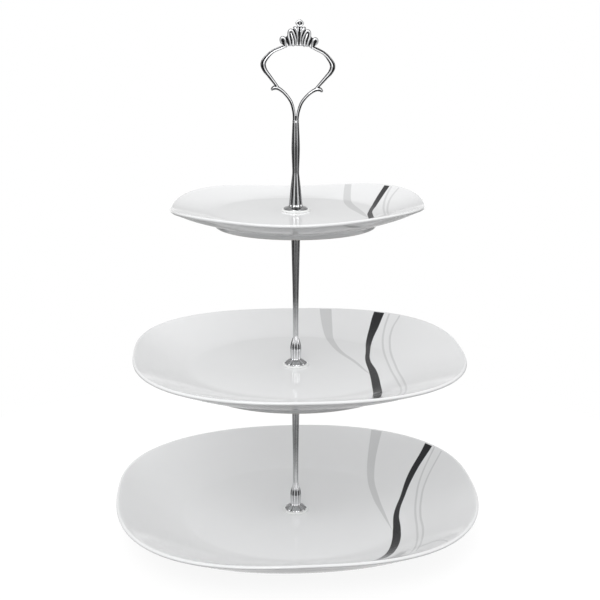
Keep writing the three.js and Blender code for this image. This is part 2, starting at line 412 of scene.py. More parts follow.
def turnedTree():  # spins a profile round Z, draws it out to a rounded square and cuts flutes in it
    tree, given = newTree("turnedPiece", ("Sides", "Flutes"), (
        "Squareness", "Round To", "Square At", "Flute Width", "Flute Turn", "Free From", "Shift", "Tilt", "Rock",
        "Corner", "Saddle", "Turn"))
    outline = given["Geometry"]
    rows = addNode(tree, "GeometryNodeAttributeDomainSize", outline).outputs["Point Count"]
    grid, turn, row = spunGrid(given["Sides"], rows)
    angle = times(turn, math.tau)

    def fromProfile(kind, value):
        return addNode(tree, "GeometryNodeSampleIndex", outline, value, row, data_type=kind).outputs[0]

    def named(name):
        field = addNode(tree, "GeometryNodeInputNamedAttribute", name, data_type="FLOAT").outputs["Attribute"]
        return fromProfile("FLOAT", field)

    point = addNode(tree, "GeometryNodeInputPosition").outputs[0]
    section = axesOf(fromProfile("FLOAT_VECTOR", point))
    radius, height = section["X"], section["Z"]
    cosine, sine = calc("COSINE", angle), calc("SINE", angle)

    power = [calc("POWER", calc("ABSOLUTE", side), given["Squareness"]) for side in (cosine, sine)]
    root = over(-1.0, given["Squareness"])
    corner = calc("POWER", plus(*power), root)
    span = minus(given["Square At"], given["Round To"])
    outward = over(minus(radius, given["Round To"]), span, clamp=True)
    stretch = plus(1.0, times(outward, minus(corner, 1.0)))

    turnedTo = times(minus(angle, given["Flute Turn"]), given["Flutes"])
    swing = calc("MULTIPLY_ADD", calc("COSINE", turnedTo), 0.5, 0.5)
    groove = calc("POWER", swing, given["Flute Width"])
    cut = times(groove, named("fluteDepth"))
    drawn = minus(times(radius, stretch), cut)
    lifted = minus(height, times(groove, named("fluteDrop")))

    reach = minus(given["Square At"], given["Free From"])
    free = over(minus(radius, given["Free From"]), reach, clamp=True)
    double = times(angle, 2.0)
    leaning = minus(times(given["Tilt"], cosine), times(given["Rock"], sine))
    saddle = times(given["Saddle"], calc("COSINE", double))
    corners = times(given["Corner"], calc("POWER", calc("SINE", double), 2.0))
    wave = plus(plus(leaning, saddle), corners)
    lifted = plus(lifted, times(free, wave))
    along = plus(times(drawn, cosine), times(free, given["Shift"]))
    place = vectorOf(along, times(drawn, sine), lifted)
    spin = wired(addNode(tree, "ShaderNodeVectorRotate", place, rotation_type="Z_AXIS"), {"Angle": given["Turn"]})

    kept = grid
    for name in ("upperFace", "bareClay"):
        kept = storeValue(kept, name, named(name))
    # painted shade in the flutes, as far as each row's share allows
    paintedShade = remap(groove, *chromeFinish["fluteSpan"], *chromeFinish["flutePaintedShade"])
    kept = storeValue(kept, "paintedShade", times(paintedShade, named("paintedShadeAndSpots")))
    shaped = welded(movedTo(kept, spin.outputs[0]))
    closeTree(addNode(tree, "GeometryNodeSetShadeSmooth", shaped).outputs[0], given["Material"])
    return tree


threads = {
    "radius": 2.0, "pitch": 0.7, "depth": 0.42, "chamfer": 0.6, "sides": 36, "rowsPerTurn": 12,
    "flank": (0.12, 0.88),  # between the flat crest and the flat root
    "rootInRod": 7.7,  # length of each stud inside its own rod
    "stack": 5.8,  # plate and washers under a foot
    "engaged": 7.0,
}


def threadTree():  # a rolled thread with a chamfer at each end, round Z from height 0
    tree, given = newTree("rolledThread", ("Sides", "Rows"), ("Length", "Radius", "Pitch", "Depth", "Chamfer"))
    grid, turn, row = spunGrid(given["Sides"], given["Rows"])
    angle, last = times(turn, math.tau), minus(given["Rows"], 1.0)
    share = over(minus(row, 1.0), minus(last, 2.0), clamp=True)
    height = times(share, given["Length"])
    climb = minus(over(height, given["Pitch"]), turn)
    tooth = calc("PINGPONG", climb, 0.5)
    flank = remap(times(tooth, 2.0), *threads["flank"])
    wanted = minus(given["Radius"], times(flank, given["Depth"]))
    fromEnd = calc("MINIMUM", height, minus(given["Length"], height))
    limit = plus(minus(given["Radius"], given["Chamfer"]), fromEnd)
    radius = calc("MINIMUM", wanted, limit)
    started = calc("GREATER_THAN", row, 0.5)  # the first and last rows close the ends
    ended = calc("GREATER_THAN", row, minus(last, 0.5))
    drawn = times(radius, minus(started, ended))
    place = vectorOf(times(drawn, calc("COSINE", angle)), times(drawn, calc("SINE", angle)), height)
    closeTree(welded(movedTo(grid, place)), given["Material"])
    return tree


def castWireTree():  # sweeps a section with two sunk lines on each face along a curve, as thick as its radius
    tree, given = newTree("castWire", ("Sides",), (
        "Flatness", "Groove", "Groove Turn", "Groove Width", "Lip", "Lip Turn", "Lip Width"))
    ring = addNode(tree, "GeometryNodeCurvePrimitiveCircle", given["Sides"]).outputs["Curve"]
    spot = positionAxes(tree)
    angle = calc("ARCTAN2", spot["Y"], calc("ABSOLUTE", spot["X"]))

    def sunkLine(name):
        off = over(minus(angle, given[f"{name} Turn"]), given[f"{name} Width"])
        spread = calc("EXPONENT", times(times(off, off), -1.0))
        return times(given[name], spread)

    sunk = plus(sunkLine("Groove"), sunkLine("Lip"))
    # the sunk lines are also painted dark as shade
    marked = storeValue(ring, "paintedShade", times(sunk, chromeFinish["linePaintedShade"], clamp=True))
    kept = minus(1.0, sunk)
    depth = times(times(spot["X"], kept), given["Flatness"])
    section = movedTo(marked, vectorOf(depth, times(spot["Y"], kept), 0.0))
    upright = addNode(tree, "GeometryNodeSetCurveNormal", given["Geometry"], mode="FREE")
    wired(upright, {"Normal": (0.0, 1.0, 0.0)})
    sweep = addNode(tree, "GeometryNodeCurveToMesh", upright.outputs[0], section)
    wired(sweep, {"Scale": addNode(tree, "GeometryNodeInputRadius").outputs[0], "Fill Caps": True})
    closeTree(sweep.outputs[0], given["Material"])
    return tree


trees = {"turned": turnedTree(), "thread": threadTree(), "wire": castWireTree()}


def placed(name, data):  # a new object in the scene
    piece = bpy.data.objects.new(name, data)
    scene.collection.objects.link(piece)
    return piece


def withModifiers(piece):  # the piece as its modifiers leave it, a plain mesh
    evaluated = piece.evaluated_get(bpy.context.evaluated_depsgraph_get())
    mesh = bpy.data.meshes.new_from_object(evaluated)
    name = piece.name
    bpy.data.objects.remove(piece)
    return outward(mesh, name)


def grown(name, data, tree, settings):  # what a tree makes of a curve or a mesh
    host = placed(name, data)
    modifier = host.modifiers.new("shape", "NODES")
    modifier.node_group = tree
    for item in tree.interface.items_tree:
        if item.in_out == "INPUT" and item.name in settings:
            modifier[item.identifier] = settings[item.name]
    return withModifiers(host)


def outward(mesh, name):  # an object whose faces point outwards
    body = bmesh.new()
    body.from_mesh(mesh)
    if body.calc_volume(signed=True) < 0:
        bmesh.ops.reverse_faces(body, faces=body.faces)
    body.to_mesh(mesh)
    body.free()
    mesh.name = name
    return placed(name, mesh)


def solidOf(body, name):  # a piece from a bmesh
    mesh = bpy.data.meshes.new(name)
    body.to_mesh(mesh)
    body.free()
    return outward(mesh, name)


def raised(piece, height):
    piece.data.transform(Matrix.Translation((0, 0, height * mm)))


def finished(piece, body, slotName, *nodes):
    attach(piece, body)
    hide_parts(*nodes)


cornerShare = 0.49  # of a side, the most that the rounding of a corner takes


def softened(corners, steps):  # rounds each corner of a profile: [radius, height, rounding] in mm
    line = []
    for i, (x, z, rounding) in enumerate(corners):
        here = Vector((x, z))
        if rounding == 0 or i in (0, len(corners) - 1):
            line.append(here)
            continue
        back = Vector(corners[i - 1][:2]) - here
        ahead = Vector(corners[i + 1][:2]) - here
        reach = min(rounding, back.length * cornerShare, ahead.length * cornerShare)
        start, end = here + back.normalized() * reach, here + ahead.normalized() * reach
        for k in range(steps + 1):
            t = k / steps
            line.append(start * (1 - t) ** 2 + here * 2 * t * (1 - t) + end * t ** 2)
    return line


def profile(corners, steps):  # rows of a profile through rounded corners
    return [{"r": x, "z": z} for x, z in softened(corners, steps)]


def profileMesh(name, rows):  # rows: radius, height in mm, and any values that the tree reads
    mesh = bpy.data.meshes.new(name)
    mesh.from_pydata([(row["r"] * mm, 0, row["z"] * mm) for row in rows],
                     [(i, i + 1) for i in range(len(rows) - 1)], [])
    for value in ("upperFace", "bareClay", "fluteDepth", "fluteDrop", "paintedShadeAndSpots"):
        layer = mesh.attributes.new(value, "FLOAT", "POINT")
        scale = mm if value.startswith("flute") else 1.0
        layer.data.foreach_set("value", [row.get(value, 0.0) * scale for row in rows])
    return mesh


def turned(name, rows, material, sides=96, **settings):
    return grown(name, profileMesh(name, rows), trees["turned"], {
        "Sides": sides, "Squareness": 2.0, "Round To": 1.0, "Square At": 2.0, "Free From": 1.0,
        "Flutes": 0, "Flute Width": 1.0, "Material": material, **settings,
    })


# Camera
cameraPlace = {
    "distance": 0.8072,  # from the column's axis, along the floor
    "height": 0.3672,
    "azimuth": -4.0,
    "pitch": 14.22,
    "lens": 73.52,
    "sensor": 36.0,
    "shift": 0.0072,
}
lens = bpy.data.cameras.new("camera")
lens.lens, lens.sensor_width, lens.shift_x = sizesOf(cameraPlace, "lens", "sensor", "shift")
camera = placed("camera", lens)
bearing = math.radians(cameraPlace["azimuth"])
camera.location = (cameraPlace["distance"] * math.sin(bearing), -cameraPlace["distance"] * math.cos(bearing),
                   cameraPlace["height"])
camera.rotation_euler = (math.radians(90 - cameraPlace["pitch"]), 0, bearing)
scene.camera = camera


# Plates
# Turn is in degrees; shift, tilt, rock, corner and saddle are how far each rim is out of true
plates = {
    "bottom": {"halfWidth": 125.0, "rimRise": 19.0, "footDrop": 9.0, "turn": 0.0,
               "shift": 0.0, "tilt": 1.0, "rock": 0.0, "corner": -1.7, "saddle": 0.6},
    "middle": {"halfWidth": 112.5, "rimRise": 11.8, "footDrop": 10.0, "turn": 0.0,
               "shift": 1.7, "tilt": -0.3, "rock": 0.0, "corner": 0.0, "saddle": 0.5},
    "top": {"halfWidth": 84.0, "rimRise": 5.3, "footDrop": 9.2, "turn": -4.1,
            "shift": 1.3, "tilt": 1.3, "rock": 1.1, "corner": 2.7, "saddle": 0.2},
}
platePress = {
    "squareness": 2.52,
    "wellShare": 0.62,  # the well's radius as a share of the half width
    "footShare": 0.65,
    "wellRows": (0.97, 0.9),
    "hole": 4.5,
    "holeEdge": 1.0,  # height of its edges, below and above
    "holeRound": (0.5, 0.6),
    "land": 10.0,  # radius of the flat that the column stands on
    "thickness": 4.0,
    "wall": 5.2,  # thickness where the wall leaves the foot ring
    "rim": 2.3,  # and at the rim
    "wallBend": 0.05,  # how softly the well turns up into the wall
    "wallSteps": 26,
    "wallOut": 1.0,  # the wall's underside lies this much farther out than its face
    "rimArc": (-65, 105),  # the rim's bead, from outside below to inside above
    "rimSteps": 12,
    "rimDip": 0.4,  # the face ends this much below the rim's height
    "beadFoot": (0.5, 0.22),  # where the bead runs out, from the face's edge
    "sides": 256,
    "cornerSteps": 4,
    "wallCornerSteps": 6,  # for the corner between the foot ring and the wall
}
footRing = {  # widths in from the ring's outer radius
    "recess": 8.0,
    "slope": 5.6,
    "inner": 3.9,
    "landInner": 3.6,
    "landOuter": 0.8,
    "outer": 0.4,
    "bevel": 0.6,  # height of the bevels beside the land
    "slopeRound": 1.6,
    "landRound": 0.5,
    "wallRound": 1.8,  # how the ring turns out into the wall
    "clear": 3.0,
}


def plateRows(size):
    half, rise = size["halfWidth"], size["rimRise"]
    well, foot = half * platePress["wellShare"], half * platePress["footShare"]
    rim, thick, wall, bend = sizesOf(platePress, "rim", "thickness", "wall", "wallBend")
    hole, edge, land, (lowRound, highRound) = sizesOf(platePress, "hole", "holeEdge", "land", "holeRound")
    steps, wallSteps = sizesOf(platePress, "cornerSteps", "wallCornerSteps")
    wallTop = half - rim
    shares = [k / platePress["wallSteps"] for k in range(platePress["wallSteps"] + 1)]
    base, bevel, rounding = -size["footDrop"], footRing["bevel"], footRing["landRound"]
    rows = []

    def climb(share):
        return rise * share ** 2 / math.sqrt(share + bend) * math.sqrt(1 + bend)

    def run(points, **values):
        rows.extend({"r": x, "z": z, **values} for x, z in points)

    inner, outer = (foot - footRing["inner"], base + bevel, 0), (foot - footRing["outer"], base + bevel, 0)
    run(softened([(hole, edge - thick, 0), (hole, -thick, lowRound), (foot - footRing["recess"], -thick, 0),
                  (foot - footRing["slope"], -thick, footRing["slopeRound"]), inner], steps)[1:])
    footLand = [(foot - footRing[side], base, rounding) for side in ("landInner", "landOuter")]
    run(softened([inner, *footLand, outer], steps)[1:-1], bareClay=1.0)
    under = [(well + (wallTop - well) * s + platePress["wallOut"], climb(s) - wall + (wall - rim) * s ** 3, 0)
             for s in shares]
    under = [corner for corner in under if corner[0] > foot + footRing["clear"]]
    run(softened([outer, (foot + bevel, -wall - bevel, footRing["wallRound"]), *under[:-2]], wallSteps))
    centre = Vector((half - rim / 2, rise - rim / 2))
    start, end = platePress["rimArc"]
    for k in range(platePress["rimSteps"] + 1):
        angle = math.radians(start + (end - start) * k / platePress["rimSteps"])
        rows.append({"r": centre.x + math.cos(angle) * rim / 2, "z": centre.y + math.sin(angle) * rim / 2})
    inside = [(well + (wallTop - well) * s, climb(s) - platePress["rimDip"] * s) for s in reversed(shares)]
    run([[last + step for last, step in zip(inside[0], platePress["beadFoot"])]])
    run(inside + [(well * share, 0) for share in platePress["wellRows"]] + [(land, 0)], upperFace=1.0)
    run(softened([(land, 0, 0), (hole, 0, highRound), (hole, -edge, 0)], steps)[1:-1], upperFace=1.0)
    rows.append(dict(rows[0]))
    return rows


wells = {}
for tier, size in plates.items():
    low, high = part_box(f"{tier}_plate")
    wells[tier] = round(low.z / mm + size["footDrop"], 3)
    half = size["halfWidth"]
    warp = {part.capitalize(): size[part] * mm for part in ("shift", "tilt", "rock", "corner", "saddle")}
    plate = turned(f"{tier}_plate_glazed", plateRows(size), glazeMaterial(tier, half), platePress["sides"], **{
        "Squareness": platePress["squareness"], "Round To": half * platePress["wellShare"] * mm,
        "Square At": half * mm, "Free From": (half * platePress["footShare"] + 1) * mm,
        "Turn": math.radians(size["turn"]), **warp,
    })
    raised(plate, wells[tier])
    finished(plate, f"{tier}_plate", "glazed_porcelain", f"{tier}_plate")
print("plates made, wells at", wells)


# Rods
rodShape = {
    "seat": 1.2,  # the plastic washer under the foot
    "tapped": 2.3,
    "tappedDepth": 9.0,
    "studDepth": 8.0,
    "length": 100.5,
    "flutes": 10,
    "fluteWidth": 1.5,
    "fluteTurn": -90.0,  # a groove faces the front
    "fullShadeDepth": 0.3,  # depth at which a flute gets its full painted shade
    "paintedShading": [(0, 0.1), (3.2, 0.15), (4.2, 0.3), (10.5, 0.35), (13, 1.0), (17, 1.0), (20, 1.6)],  # painted shade's strength, by height
    "edge": 0.1,  # rounding of the upper end
    "boreRound": 0.3,  # of the bores at both ends
    "mouthRound": 0.35,  # and of the tapped hole's mouth
    "sides": 120,
    "rowsPerGap": 7,
    "cornerSteps": 3,
    # height, radius, and where they aren't 0 the flutes' depth and how far the groove's end is pulled down
    "stations": [
        (0.02, 7.3), (0.35, 7.75, 0.75), (0.8, 7.6, 0.8), (1.5, 6.75, 0.75), (2.5, 5.2, 0.7),
        (3.2, 3.95, 0.5), (4.2, 3.5, 0.42), (7.0, 3.68, 0.5), (9.8, 3.82, 0.55), (12.4, 3.68, 0.5, 0.6),
        (14.8, 3.25, 0.3, 1.3), (17.0, 2.55, 0.16, 1.4), (19.2, 1.98, 0.1, 0.6), (22.0, 1.85, 0.12),
        (38.0, 1.92, 0.16), (55.0, 2.16, 0.2), (75.0, 2.62, 0.26), (100.3, 3.2, 0.3),
    ],
}


def throughStations(stations, steps):  # a smooth run through listed stations
    ends = [stations[0], *stations, stations[-1]]
    rows = []
    for i in range(1, len(ends) - 2):
        for k in range(steps):
            t = k / steps
            rows.append([0.5 * (2 * b + (c - a) * t + (2 * a - 5 * b + 4 * c - d) * t ** 2
                                + (3 * b - a - 3 * c + d) * t ** 3) for a, b, c, d in zip(*ends[i - 1:i + 3])])
    return rows + [list(stations[-1])]


def castRows(shape):
    rows = []
    stations = [(*station, 0, 0)[:4] for station in shape["stations"]]
    for height, radius, depth, drop in throughStations(stations, shape["rowsPerGap"]):
        # each row's share of painted shade in its flutes, by depth and height
        paintedShading = np.interp(height, *zip(*shape["paintedShading"]))
        rows.append({"r": max(radius, 0), "z": height, "fluteDepth": max(depth, 0), "fluteDrop": max(drop, 0),
                     "paintedShadeAndSpots": min(max(depth, 0) / rodShape["fullShadeDepth"] * paintedShading, 1)})
    return rows


def tappedFoot(stations):
    hole, depth, rounding = sizesOf(rodShape, "tapped", "tappedDepth", "boreRound")
    under, reach = stations[0][:2]  # the foot stays a hair above its seat
    corners = [(0, depth, 0), (hole, depth, rounding), (hole, under, rodShape["mouthRound"]), (reach, under, 0)]
    return profile(corners, rodShape["cornerSteps"])[:-1]


def fluted(shape):
    return {"Flutes": shape["flutes"], "Flute Width": shape["fluteWidth"],
            "Flute Turn": math.radians(shape["fluteTurn"])}


for name, tier in (("lower_rod", "bottom"), ("upper_rod", "middle")):
    top, bore, edge, inner = sizesOf(rodShape, "length", "tapped", "edge", "boreRound")
    height, radius = rodShape["stations"][-1][:2]
    low = top - rodShape["studDepth"]
    end = [(radius, height, 0), (radius - edge, top, edge), (bore, top, inner), (bore, low, inner), (0, low, 0)]
    rows = tappedFoot(rodShape["stations"]) + castRows(rodShape) + profile(end, rodShape["cornerSteps"])[1:]
    rod = turned(f"{name}_cast", rows, chrome, rodShape["sides"], **fluted(rodShape))
    raised(rod, wells[tier] + rodShape["seat"])
    finished(rod, name, "cast_chrome", name)
print("rods made")


# Crown handle
handleShape = {
    "flutes": 8,
    "fluteWidth": 1.35,
    "fluteTurn": -90.0,
    # painted shade's strength in the stem's flutes, by height
    "paintedShading": [(0, 0.12), (3.0, 0.15), (4.6, 1.0), (20, 1.2)],
    "sides": 144,
    "rowsPerGap": 7,
    "collar": 58.9,
    "lean": 2.4,  # the cast loop leans a little on its stem
    # ribs are deeper than they are wide; each face of the wire has two sunk lines, painted dark as shade: depth,
    # turn and width
    "wire": {"flatness": 1.0, "Groove": (0.5, -33.0, 23.0), "Lip": (0.27, 58.0, 15.0)},
    "rib": {"flatness": 1.35},
    "boss": {"flatness": 1.9},
    "sill": {"flatness": 0.8},
    "webDepth": 0.5,
    "grain": 0.20,  # size of the cells that melt the castings into one
    "melt": (0.5, 5),  # how strongly and how many times they are then softened
    "stemTop": [(1.2, -0.25), (0, -0.35)],  # radius, and height over the collar
    "wireSides": 40,
    "wireSteps": 6,
    "capTurns": (25, 48, 68, 84),
    # painted shade in the loop's gaps and on the web between its ribs
    "gaps": {"blend": 6, "rounds": 50, "shallow": 0.02, "deep": 0.09, "sunk": 0.9, "rise": 0.52, "fade": 0.24,
             "from": 47.6, "faceOn": (0.3, 0.8)},
    "stations": [
        (0.02, 7.9), (0.3, 8.3), (0.75, 8.15, 0.3), (1.2, 7.4, 0.7), (1.55, 6.3, 0.6),
        (2.0, 5.1, 0.75), (3.0, 4.7, 0.75), (5.0, 4.45, 0.72), (10.0, 3.95, 0.62), (15.5, 3.35, 0.5),
        (21.0, 2.7, 0.38), (25.0, 2.35, 0.32), (32.0, 2.62, 0.36), (40.0, 2.88, 0.42),
        (47.0, 2.72, 0.38), (53.0, 2.42, 0.32), (57.2, 2.22, 0.26), (57.5, 2.08, 0.05),
        (57.7, 2.12), (58.4, 2.25), (58.7, 2.22), (58.9, 2.05),
    ],
}
# Right half of the loop and its castings, mirrored to the left, in mm: x, height over the collar, half thickness
loopParts = {
    "leg": [(0.9, -2.5, 1.0), (1.15, 3.0, 1.05), (1.85, 7.0, 1.05), (3.5, 11.8, 1.08), (6.6, 15.9, 1.12),
            (9.8, 18.8, 1.2), (12.7, 20.4, 1.4), (14.9, 20.5, 1.5), (16.1, 19.7, 1.1)],
    "wire": [(12.0, 20.2, 1.0), (14.2, 23.0, 1.1), (18.1, 27.7, 1.3), (21.4, 31.8, 1.6), (22.6, 35.6, 1.85),
             (21.0, 39.2, 1.6), (16.6, 43.7, 1.25), (10.7, 46.5, 1.2), (8.9, 47.4, 0.9)],
}
crownParts = {
    "scroll": [(8.5, 46.9, 0.75), (8.75, 49.0, 0.8), (9.0, 51.0, 0.92), (9.7, 52.4, 0.98), (10.8, 52.8, 0.9),
               (11.7, 52.2, 0.78), (12.0, 51.0, 0.66), (11.6, 49.8, 0.6), (11.2, 49.0, 0.5)],
    "wedge": [(7.35, 47.4, 0.45), (7.8, 49.2, 0.42), (8.2, 51.0, 0.35)],
    "arch": [(1.9, 48.2, 0.52), (2.15, 51.0, 0.6), (2.6, 53.0, 0.66), (3.3, 55.0, 0.72), (4.1, 56.6, 0.8),
             (5.0, 57.6, 0.85), (5.9, 57.6, 0.9), (6.6, 56.8, 0.88), (6.95, 55.4, 0.82), (6.8, 53.5, 0.82),
             (6.1, 51.0, 0.84), (5.5, 48.0, 0.76)],
    "fill": [(3.6, 48.0, 0.8), (3.85, 51.0, 0.78), (4.5, 53.2, 0.76), (5.1, 55.0, 0.62), (5.3, 55.8, 0.42)],
    "leaf": [(0.88, 48.0, 0.42), (0.92, 51.5, 0.46), (1.0, 53.5, 0.54), (1.25, 55.3, 0.74), (1.75, 57.2, 1.0),
             (2.5, 58.7, 0.98), (3.3, 59.4, 0.78), (3.8, 58.9, 0.5)],
    "stalk": [(0.95, 55.0, 0.5), (0.95, 58.0, 0.52), (1.0, 60.4, 0.5)],
    "petal": [(0.0, 60.3, 0.55), (1.4, 61.0, 0.6), (2.15, 62.2, 0.65), (1.25, 63.3, 0.6), (0.0, 64.1, 0.55)],
}
crownMiddle = {
    "boss": [(0, 61.7, 0.55), (0, 62.7, 0.55)],
    "sill": [(-8.8, 47.8, 0.5), (-4.4, 48.4, 0.5), (0, 48.5, 0.5), (4.4, 48.4, 0.5), (8.8, 47.8, 0.5)],
}
crownWeb = [(0.0, 47.9), (4.6, 48.1), (9.0, 47.1), (10.6, 48.4), (11.9, 50.6), (11.6, 52.2), (9.8, 52.8),
            (8.3, 53.4), (7.4, 54.6), (7.0, 56.3), (5.6, 57.6), (4.2, 57.9), (3.3, 59.0), (2.2, 59.7), (1.2, 60.3),
            (2.1, 62.2), (0.0, 64.1)]


def domed(points):  # rounds off both ends of a run of x, height, half thickness
    line = [Vector(point) for point in points]
    for end, inner in ((0, 1), (-1, -2)):
        x, z, reach = line[end]
        ahead = (Vector((x, z)) - line[inner].to_2d()).normalized()
        cap = [Vector((x + ahead.x * reach * math.sin(a), z + ahead.y * reach * math.sin(a), reach * math.cos(a)))
               for a in map(math.radians, handleShape["capTurns"])]
        line = cap[::-1] + line if end == 0 else line + cap
    return line


def castWire(name, stations, side, section):
    curve = bpy.data.curves.new(name, "CURVE")
    curve.dimensions = "3D"
    points = domed(throughStations(stations, handleShape["wireSteps"]))
    spline = curve.splines.new("POLY")
    spline.points.add(len(points) - 1)
    for spot, (x, z, reach) in zip(spline.points, points):
        spot.co = (side * x * mm, 0, z * mm, 1)
        spot.radius = reach * mm
    settings = {"Sides": handleShape["wireSides"], "Flatness": section["flatness"], "Material": chrome}
    for line in ("Groove", "Lip"):
        depth, turn, width = section.get(line, (0.0, 0.0, 20.0))
        settings |= {line: depth, f"{line} Turn": side * math.radians(turn), f"{line} Width": math.radians(width)}
    return grown(name, curve, trees["wire"], settings)


def castPlate(name, outline, depth):  # a flat web from its right-hand outline
    border = outline + [(-x, z) for x, z in reversed(outline) if x > 0]
    body = bmesh.new()
    face = body.faces.new([body.verts.new((x * mm, -depth / 2 * mm, z * mm)) for x, z in border])
    grownFace = bmesh.ops.extrude_face_region(body, geom=[face])
    moved = [part for part in grownFace["geom"] if isinstance(part, bmesh.types.BMVert)]
    bmesh.ops.translate(body, verts=moved, vec=(0, depth * mm, 0))
    bmesh.ops.recalc_face_normals(body, faces=body.faces)
    return solidOf(body, name)


def joined(pieces, name):
    whole = bmesh.new()
    for piece in pieces:
        whole.from_mesh(piece.data)
        bpy.data.objects.remove(piece)
    piece = solidOf(whole, name)
    piece.data.materials.append(chrome)
    return piece


def melted(piece, grain, strength, rounds):  # fuses overlapping castings, and softens where they meet
    remesh = piece.modifiers.new("fuse", "REMESH")
    remesh.mode, remesh.voxel_size = "VOXEL", grain * mm
    smooth = piece.modifiers.new("soften", "SMOOTH")
    smooth.factor, smooth.iterations = strength, rounds
    return withModifiers(piece)


def united(first, second, operation="UNION"):
    step = first.modifiers.new("join", "BOOLEAN")
    step.operation, step.solver, step.object = operation, "MANIFOLD", second
    whole = withModifiers(first)
    bpy.data.objects.remove(second)
    return whole


def sunkLineShade(pieces):  # where the castings' own grooves lie and the painted shade on them, before they are melted together
    marks = []
    for piece in pieces:
        layer = piece.data.attributes.get("paintedShade")
        if layer:
            marks += [(vertex.co.copy(), layer.data[vertex.index].value) for vertex in piece.data.vertices]
    lines = KDTree(len(marks))
    for k, (place, _) in enumerate(marks):
        lines.insert(place, k)
    lines.balance()
    return lines, [value for _, value in marks]


def paintHollowShade(mesh, lines, values, gaps):  # painted shade: 0 on open metal, 1 where it is sunk between its neighbours
    count = len(mesh.vertices)
    place, facing = np.empty(count * 3), np.empty(count * 3)
    mesh.vertices.foreach_get("co", place)
    mesh.vertex_normals.foreach_get("vector", facing)
    ends = np.empty(len(mesh.edges) * 2, dtype=np.int64)
    mesh.edges.foreach_get("vertices", ends)
    links = np.bincount(ends, minlength=count)
    first, second = ends[::2], ends[1::2]
    place, facing = place.reshape(-1, 3), facing.reshape(-1, 3)

    def blended(field, rounds):  # halfway to the mean of its neighbours, again and again
        for k in range(rounds):
            total = np.bincount(first, field[second], count) + np.bincount(second, field[first], count)
            field = (field + total / links) / 2
        return field

    def share(field, low, high):
        return np.clip((field - low) / (high - low), 0, 1)

    eased = np.stack([blended(place[:, axis], gaps["rounds"]) for axis in range(3)], 1)
    sunk = share(((eased - place) * facing).sum(1) / mm, gaps["shallow"], gaps["deep"])
    paintedWebShade = share(-np.abs(place[:, 1]) / mm, -gaps["rise"], gaps["fade"] - gaps["rise"])  # painted shade on the web between ribs
    paintedWebShade *= share(np.abs(facing[:, 1]), *gaps["faceOn"]) * (place[:, 2] / mm > gaps["from"])
    # the sunk lines' painted shade, carried over from the castings
    drawn = blended(np.array([values[lines.find(spot)[1]] for spot in place]), gaps["blend"])
    layer = mesh.attributes.get("paintedShade") or mesh.attributes.new("paintedShade", "FLOAT", "POINT")
    layer.data.foreach_set("value", np.maximum(np.maximum(sunk * gaps["sunk"], paintedWebShade), drawn))


def crownHandle():
    shape = handleShape
    pieces = [castPlate("web", crownWeb, shape["webDepth"])]
    for side in (1, -1):
        for parts, section in ((loopParts, shape["wire"]), (crownParts, shape["rib"])):
            pieces += [castWire(part, stations, side, section) for part, stations in parts.items()]
    pieces += [castWire(part, stations, 1, shape[part]) for part, stations in crownMiddle.items()]
    # the castings' painted shade, to carry over onto the melted loop
    lines, values = sunkLineShade(pieces)
    loop = melted(joined(pieces, "loop"), shape["grain"], *shape["melt"])
    paintHollowShade(loop.data, lines, values, shape["gaps"])
    loop.data.transform(Matrix.Rotation(math.radians(shape["lean"]), 4, "Y"))
    raised(loop, shape["collar"])
    rows = tappedFoot(shape["stations"]) + castRows(shape)
    rows += [{"r": radius, "z": shape["collar"] + height} for radius, height in shape["stemTop"]]
    stem = turned("crown_handle_cast", rows, chrome, shape["sides"], **fluted(shape))
    handle = united(stem, loop)
    handle.data.shade_smooth()
    raised(handle, wells["top"] + rodShape["seat"])
    finished(handle, "crown_handle", "cast_chrome", "crown_handle")


crownHandle()
print("handle made")

# Threads
screwHead = {
    "radius": 4.0, "height": 2.2,
    "crown": 1.0,  # how much smaller the top is
    "crownRound": 1.2, "edgeRound": 0.9, "faceRound": 0.15,
    "recess": 2.6, "recessHalf": 0.425, "recessDepth": 1.5,
    "taper": (1.1, 0.45),  # the recess's share of its width, just outside the head and at its bottom
    "sunk": 0.5,  # how far the shank starts inside the head
    "cornerSteps": 6,
}


def threadedBar(name, length, height):
    rows = math.ceil(length / threads["pitch"] * threads["rowsPerTurn"]) + 3  # two of them close the ends
    bar = grown(name, bpy.data.meshes.new(name), trees["thread"], {
        "Length": length * mm, "Radius": threads["radius"] * mm, "Pitch": threads["pitch"] * mm,
        "Depth": threads["depth"] * mm, "Chamfer": threads["chamfer"] * mm, "Sides": threads["sides"],
        "Rows": rows, "Material": zinc,
    })
    raised(bar, height)
    return bar


studLength = threads["rootInRod"] + threads["stack"] + rodShape["seat"] + threads["engaged"]
for name, tier in (("lower", "bottom"), ("upper", "middle")):
    foot = wells[tier] + rodShape["seat"] + rodShape["length"] - threads["rootInRod"]
    finished(threadedBar(f"{name}_threaded_stud", studLength, foot), f"{name}_rod", "zinc_steel", f"{name}_stud")


def crossRecess(name, centre):  # a tapered cross, to cut the driver's recess
    half, width, depth = sizesOf(screwHead, "recess", "recessHalf", "recessDepth")
    cross, quarter = [], [(half, -width), (half, width), (width, width)]
    for k in range(4):
        cross += quarter
        quarter = [(-y, x) for x, y in quarter]
    body = bmesh.new()
    rings = [[body.verts.new((x * share * mm, y * share * mm, (centre + z) * mm)) for x, y in cross]
             for z, share in zip((-screwHead["sunk"], depth), screwHead["taper"])]
    body.faces.new(rings[0][::-1])
    body.faces.new(rings[1])
    for k in range(len(cross)):
        n = (k + 1) % len(cross)
        body.faces.new((rings[0][k], rings[0][n], rings[1][n], rings[1][k]))
    return solidOf(body, name)


